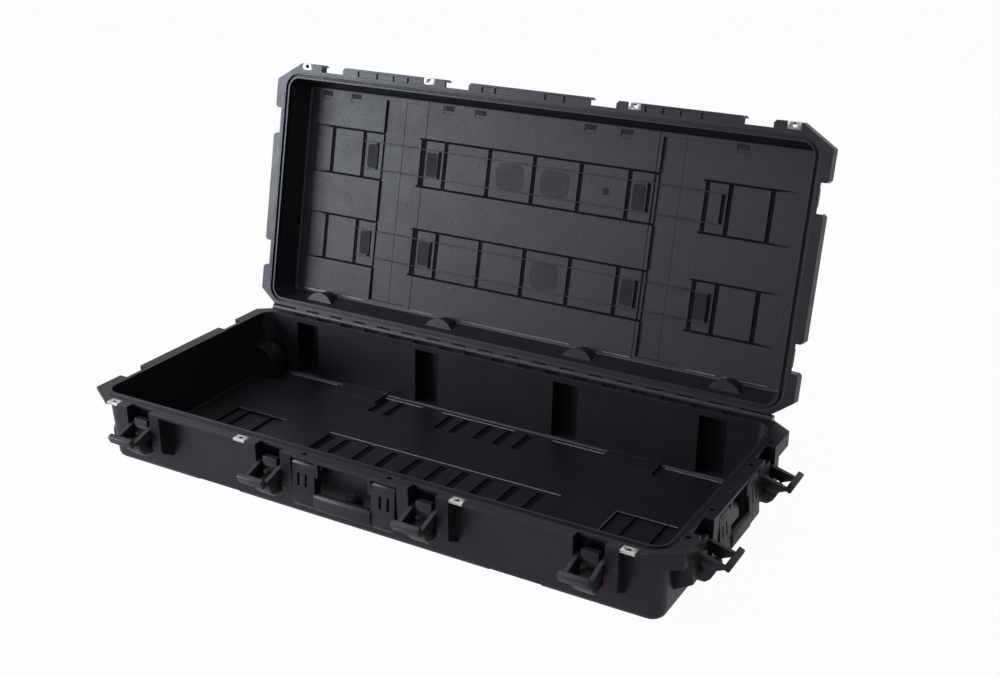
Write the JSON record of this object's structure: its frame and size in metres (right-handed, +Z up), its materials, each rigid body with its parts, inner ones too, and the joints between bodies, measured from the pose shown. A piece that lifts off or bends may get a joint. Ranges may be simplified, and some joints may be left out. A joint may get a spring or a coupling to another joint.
{
  "type": "protective hard case",
  "caption": "Long wheeled protective hard case with hinged lid, swing-over latches, folding handles, sealed rim and padlock plates, shown open.",
  "frame": {"origin": "middle of the base's underside, on the ground", "axes": "+Z up, +X along the length to the right, +Y from the latches to the hinge"},
  "size_m": [1.3856, 0.7929, 0.6913],
  "materials": {
    "shell_plastic": "fine-textured moulded plastic",
    "latch_plastic": "satin moulded plastic",
    "grip_rubber": "soft matt over-mould",
    "seal_rubber": "smooth solid rubber",
    "tyre_rubber": "matt rubber",
    "bright_steel": "stamped stainless steel",
    "red_plastic": "plain moulded plastic"
  },
  "bodies": {
    "base": {"base_shell": "shell_plastic", "hinge_rod": "bright_steel", "latch_pins": "bright_steel", "trigger_springs": "bright_steel", "latch_marks": "red_plastic", "base_padlock_plates": "bright_steel", "front_handle_pins": "bright_steel", "end_handle_pins": "bright_steel", "wheel_axles": "bright_steel", "wheel_washers": "bright_steel", "vent_body": "latch_plastic", "vent_gasket": "seal_rubber", "vent_cap": "latch_plastic"},
    "lid": {"lid_shell": "shell_plastic", "lid_seal": "seal_rubber", "lid_padlock_plates": "bright_steel"},
    "front_handle": {"front_handle_frame": "shell_plastic", "front_handle_grip": "grip_rubber"},
    "end_handle": {"end_handle_frame": "shell_plastic", "end_handle_grip": "grip_rubber"},
    "front_wheel": {"front_wheel_tyre": "tyre_rubber", "front_wheel_hub": "latch_plastic"},
    "rear_wheel": {"rear_wheel_tyre": "tyre_rubber", "rear_wheel_hub": "latch_plastic"},
    "bail_1": {"latch_1_bail": "latch_plastic"},
    "trigger_1": {"latch_1_trigger": "latch_plastic"},
    "bail_2": {"latch_2_bail": "latch_plastic"},
    "trigger_2": {"latch_2_trigger": "latch_plastic"},
    "bail_3": {"latch_3_bail": "latch_plastic"},
    "trigger_3": {"latch_3_trigger": "latch_plastic"},
    "bail_4": {"latch_4_bail": "latch_plastic"},
    "trigger_4": {"latch_4_trigger": "latch_plastic"},
    "bail_5": {"latch_5_bail": "latch_plastic"},
    "trigger_5": {"latch_5_trigger": "latch_plastic"},
    "bail_6": {"latch_6_bail": "latch_plastic"},
    "trigger_6": {"latch_6_trigger": "latch_plastic"},
    "bail_7": {"latch_7_bail": "latch_plastic"},
    "trigger_7": {"latch_7_trigger": "latch_plastic"},
    "bail_8": {"latch_8_bail": "latch_plastic"},
    "trigger_8": {"latch_8_trigger": "latch_plastic"}
  },
  "joints": [
    {"name": "lid_hinge", "type": "hinge", "parent": "base", "child": "lid", "pos_m": [0, 0.2726, 0.1504], "axis": [1, 0, 0], "range_deg": [0, 103]},
    {"name": "front_handle_swing", "type": "hinge", "parent": "base", "child": "front_handle", "pos_m": [0, -0.274, 0.125], "axis": [-1, 0, 0], "range_deg": [0, 90]},
    {"name": "end_handle_swing", "type": "hinge", "parent": "base", "child": "end_handle", "pos_m": [0.626, 0, 0.125], "axis": [0, -1, 0], "range_deg": [0, 90]},
    {"name": "front_wheel_spin", "type": "hinge", "parent": "base", "child": "front_wheel", "pos_m": [-0.588, -0.212, 0.038], "axis": [0, 1, 0], "continuous": true},
    {"name": "rear_wheel_spin", "type": "hinge", "parent": "base", "child": "rear_wheel", "pos_m": [-0.588, 0.212, 0.038], "axis": [0, 1, 0], "continuous": true},
    {"name": "bail_1_swing", "type": "hinge", "parent": "base", "child": "bail_1", "pos_m": [-0.487, -0.272, 0.102], "axis": [-1, 0, 0], "range_deg": [0, 100]},
    {"name": "trigger_1_press", "type": "hinge", "parent": "base", "child": "trigger_1", "pos_m": [-0.487, -0.272, 0.102], "axis": [-1, 0, 0], "range_deg": [0, 10], "stiffness_Nm_per_rad": 0.3, "springref_deg": -17.19},
    {"name": "bail_2_swing", "type": "hinge", "parent": "base", "child": "bail_2", "pos_m": [-0.168, -0.272, 0.102], "axis": [-1, 0, 0], "range_deg": [0, 100]},
    {"name": "trigger_2_press", "type": "hinge", "parent": "base", "child": "trigger_2", "pos_m": [-0.168, -0.272, 0.102], "axis": [-1, 0, 0], "range_deg": [0, 10], "stiffness_Nm_per_rad": 0.3, "springref_deg": -17.19},
    {"name": "bail_3_swing", "type": "hinge", "parent": "base", "child": "bail_3", "pos_m": [0.168, -0.272, 0.102], "axis": [-1, 0, 0], "range_deg": [0, 100]},
    {"name": "trigger_3_press", "type": "hinge", "parent": "base", "child": "trigger_3", "pos_m": [0.168, -0.272, 0.102], "axis": [-1, 0, 0], "range_deg": [0, 10], "stiffness_Nm_per_rad": 0.3, "springref_deg": -17.19},
    {"name": "bail_4_swing", "type": "hinge", "parent": "base", "child": "bail_4", "pos_m": [0.487, -0.272, 0.102], "axis": [-1, 0, 0], "range_deg": [0, 100]},
    {"name": "trigger_4_press", "type": "hinge", "parent": "base", "child": "trigger_4", "pos_m": [0.487, -0.272, 0.102], "axis": [-1, 0, 0], "range_deg": [0, 10], "stiffness_Nm_per_rad": 0.3, "springref_deg": -17.19},
    {"name": "bail_5_swing", "type": "hinge", "parent": "base", "child": "bail_5", "pos_m": [0.624, -0.15, 0.102], "axis": [0, -1, 0], "range_deg": [0, 100]},
    {"name": "trigger_5_press", "type": "hinge", "parent": "base", "child": "trigger_5", "pos_m": [0.624, -0.15, 0.102], "axis": [0, -1, 0], "range_deg": [0, 10], "stiffness_Nm_per_rad": 0.3, "springref_deg": -17.19},
    {"name": "bail_6_swing", "type": "hinge", "parent": "base", "child": "bail_6", "pos_m": [0.624, 0.15, 0.102], "axis": [0, -1, 0], "range_deg": [0, 100]},
    {"name": "trigger_6_press", "type": "hinge", "parent": "base", "child": "trigger_6", "pos_m": [0.624, 0.15, 0.102], "axis": [0, -1, 0], "range_deg": [0, 10], "stiffness_Nm_per_rad": 0.3, "springref_deg": -17.19},
    {"name": "bail_7_swing", "type": "hinge", "parent": "base", "child": "bail_7", "pos_m": [-0.624, 0.15, 0.102], "axis": [0, 1, 0], "range_deg": [0, 100]},
    {"name": "trigger_7_press", "type": "hinge", "parent": "base", "child": "trigger_7", "pos_m": [-0.624, 0.15, 0.102], "axis": [0, 1, 0], "range_deg": [0, 10], "stiffness_Nm_per_rad": 0.3, "springref_deg": -17.19},
    {"name": "bail_8_swing", "type": "hinge", "parent": "base", "child": "bail_8", "pos_m": [-0.624, -0.15, 0.102], "axis": [0, 1, 0], "range_deg": [0, 100]},
    {"name": "trigger_8_press", "type": "hinge", "parent": "base", "child": "trigger_8", "pos_m": [-0.624, -0.15, 0.102], "axis": [0, 1, 0], "range_deg": [0, 10], "stiffness_Nm_per_rad": 0.3, "springref_deg": -17.19}
  ]
}
